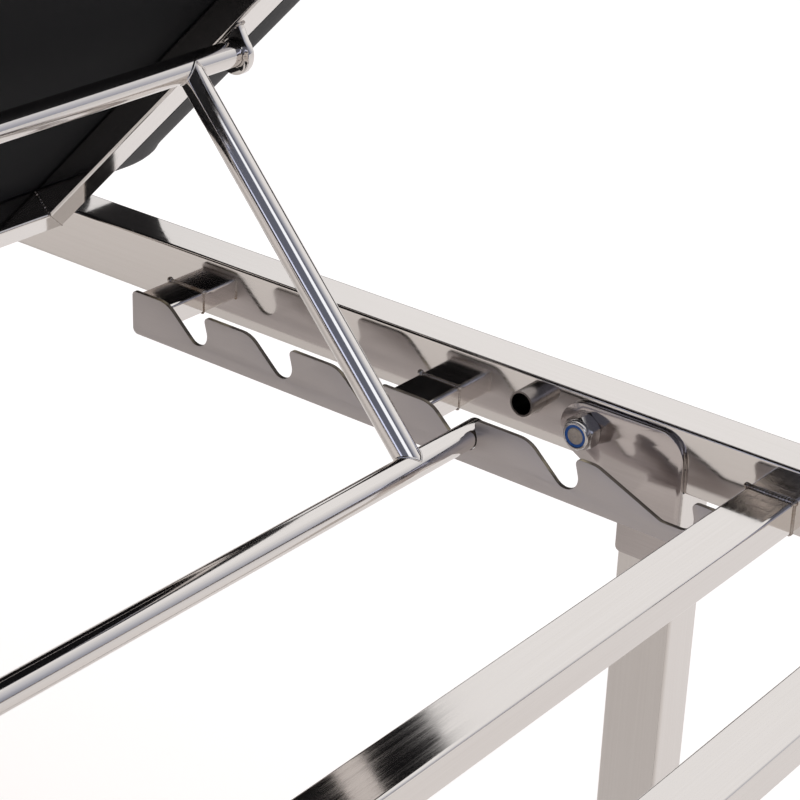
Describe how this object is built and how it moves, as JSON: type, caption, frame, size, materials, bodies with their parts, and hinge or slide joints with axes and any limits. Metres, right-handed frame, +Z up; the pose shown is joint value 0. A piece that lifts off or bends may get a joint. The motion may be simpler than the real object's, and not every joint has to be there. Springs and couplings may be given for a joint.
{
  "type": "treatment table",
  "caption": "Folding treatment table of polished steel tube, with a padded seat and a padded backrest propped in notched racks.",
  "frame": {"origin": "on the floor, at the middle of the table's overall length and width", "axes": "+X along the rails to the head end, +Y across to the left rail, +Z up from the floor"},
  "size_m": [1.8273, 0.6898, 1.1331],
  "materials": {
    "polished_steel": "mirror polished",
    "satin_plate": "satin",
    "zinc_hardware": "bright",
    "blue_nylon": "semi gloss",
    "leatherette": "fine grain",
    "dust_cloth": "non-woven",
    "plywood": "raw",
    "black_plastic": "matt",
    "rubber": "matt"
  },
  "bodies": {
    "frame": {"side_rail_left": "polished_steel", "side_rail_right": "polished_steel", "head_cross_tube": "polished_steel", "head_end_cross_tube": "polished_steel", "hinge_cross_tube": "polished_steel", "seat_cross_tube": "polished_steel", "foot_cross_tube": "polished_steel", "accessory_socket_left": "polished_steel", "accessory_socket_right": "polished_steel", "rack_standoff_left_low": "polished_steel", "rack_standoff_left_high": "polished_steel", "rack_standoff_right_low": "polished_steel", "rack_standoff_right_high": "polished_steel", "fixed_hinge_lug_left": "polished_steel", "fixed_hinge_lug_right": "polished_steel", "rack_left": "satin_plate", "rack_right": "satin_plate", "hinge_bolts": "zinc_hardware", "hinge_nuts": "zinc_hardware", "leg_bolts": "zinc_hardware", "leg_washers": "zinc_hardware", "leg_nuts": "zinc_hardware", "seat_screws": "zinc_hardware", "nylon_rings": "blue_nylon", "seat_pad": "leatherette", "seat_dust_cover": "dust_cloth", "seat_board": "plywood", "rail_end_caps": "black_plastic"},
    "backrest": {"ring_side_left": "polished_steel", "ring_side_right": "polished_steel", "ring_low_end": "polished_steel", "ring_head_end": "polished_steel", "moving_hinge_lug_left": "polished_steel", "moving_hinge_lug_right": "polished_steel", "rod_ear_left": "polished_steel", "rod_ear_right": "polished_steel", "backrest_board": "plywood", "backrest_pad": "leatherette", "backrest_dust_cover": "dust_cloth", "backrest_screws": "zinc_hardware"},
    "prop": {"prop_rod": "polished_steel", "prop_rod_plugs": "polished_steel", "prop_strut_left": "polished_steel", "prop_strut_right": "polished_steel", "prop_bar": "polished_steel", "prop_bar_plugs": "polished_steel"},
    "head_legs": {"head_leg_left": "polished_steel", "head_leg_right": "polished_steel", "head_bracket_left": "polished_steel", "head_bracket_right": "polished_steel", "head_stretcher": "polished_steel", "head_leg_feet": "rubber"},
    "foot_legs": {"foot_leg_left": "polished_steel", "foot_leg_right": "polished_steel", "foot_bracket_left": "polished_steel", "foot_bracket_right": "polished_steel", "foot_stretcher": "polished_steel", "foot_leg_feet": "rubber"}
  },
  "joints": [
    {"name": "backrest_tilt", "type": "hinge", "parent": "frame", "child": "backrest", "pos_m": [0.21175, 0, 0.592], "axis": [0, -1, 0], "range_deg": [0, 21.6]},
    {"name": "prop_swing", "type": "hinge", "parent": "backrest", "child": "prop", "pos_m": [0.41408, 0, 0.75739], "axis": [0, 1, 0], "range_deg": [0, 23.8]},
    {"name": "head_leg_fold", "type": "hinge", "parent": "frame", "child": "head_legs", "pos_m": [0.65075, 0, 0.576], "axis": [0, 1, 0], "range_deg": [0, 90]},
    {"name": "foot_leg_fold", "type": "hinge", "parent": "frame", "child": "foot_legs", "pos_m": [-0.62825, 0, 0.576], "axis": [0, -1, 0], "range_deg": [0, 90]}
  ],
  "couplings": [
    {"joint": "prop_swing", "follows": "backrest_tilt", "ratio": 1.1}
  ]
}
